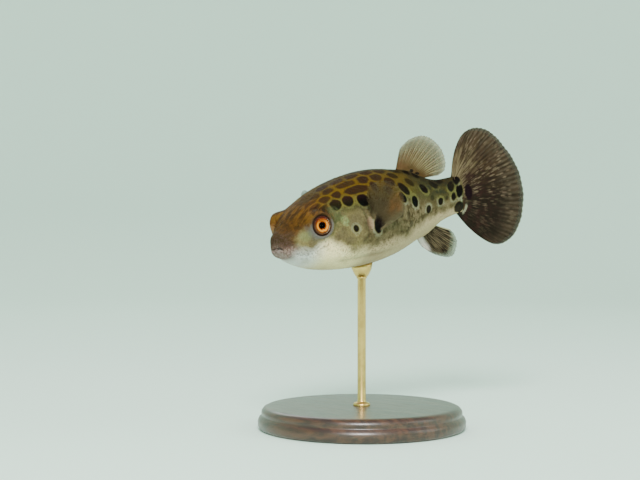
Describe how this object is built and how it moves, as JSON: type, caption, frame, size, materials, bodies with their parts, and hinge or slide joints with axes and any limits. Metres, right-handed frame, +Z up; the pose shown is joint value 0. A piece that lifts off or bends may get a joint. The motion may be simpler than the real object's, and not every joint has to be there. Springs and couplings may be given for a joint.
{
  "type": "freshwater pufferfish display model",
  "caption": "Still life-size model of a spotted freshwater pufferfish, nose down with its tail swept aside, on a round base with one rod.",
  "frame": {"origin": "centre of the underside of the stand's round base", "axes": "+Z up, the fish's head towards -X and its left side towards -Y"},
  "size_m": [0.0956, 0.064, 0.0945],
  "materials": {
    "skin": "damp, finely grained fish skin, ochre and olive with dark spots above and off-white below",
    "eye": "wet, clear cornea over an orange iris",
    "pale_fin": "thin translucent fin membrane with pale rays",
    "dark_fin": "dark brown fin membrane with pale flecks along the rays",
    "stand_wood": "dark stained hardwood, satin lacquer",
    "stand_brass": "brushed brass"
  },
  "bodies": {
    "root": {"upper_lip": "skin", "lower_lip": "skin", "head": "skin", "trunk": "skin", "tail_stalk": "skin", "eye_left": "eye", "eye_right": "eye", "dorsal_fin": "pale_fin", "anal_fin": "dark_fin", "caudal_fin": "dark_fin", "pectoral_fin_left": "pale_fin", "pectoral_fin_right": "pale_fin", "stand_base": "stand_wood", "stand_rod": "stand_brass", "stand_cup": "stand_brass"}
  },
  "joints": []
}
